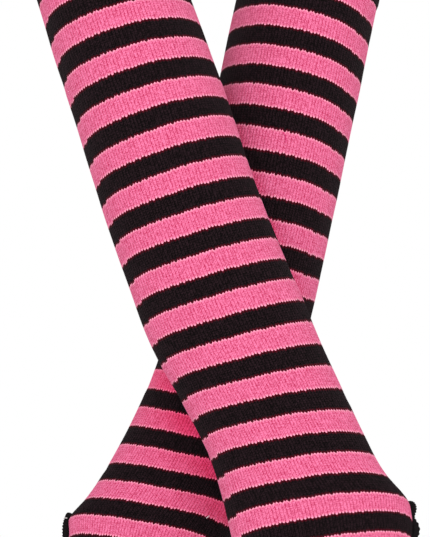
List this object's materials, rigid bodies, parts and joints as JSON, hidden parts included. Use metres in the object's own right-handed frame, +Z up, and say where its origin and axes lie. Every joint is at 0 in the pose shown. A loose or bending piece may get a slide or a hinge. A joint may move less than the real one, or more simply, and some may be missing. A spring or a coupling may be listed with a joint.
{
  "type": "pair of knitted arm warmers",
  "caption": "Pair of long fingerless striped knitted arm warmers with thumb slits, worn and crossed, hollow and open at both ends.",
  "frame": {"origin": "between the two sleeves where the forearms cross, where the wearer holds them up", "axes": "+Z up along the arms, -Y towards the front, where the right arm warmer lies over the left, +X to the right hand's thumb side"},
  "size_m": [0.1858, 0.1184, 0.3628],
  "materials": {
    "striped_knit": "fine jersey in pink and black stripes",
    "black_welt": "fine jersey, turned edge",
    "black_overlock": "overlocked and wavy"
  },
  "bodies": {
    "root": {"right_upper_knit": "striped_knit", "right_lower_knit": "striped_knit", "right_hand_knit": "striped_knit", "right_top_welt": "black_welt", "right_finger_welt": "black_welt", "right_thumb_edging": "black_overlock", "left_upper_knit": "striped_knit", "left_lower_knit": "striped_knit", "left_hand_knit": "striped_knit", "left_top_welt": "black_welt", "left_finger_welt": "black_welt", "left_thumb_edging": "black_overlock"}
  },
  "joints": []
}
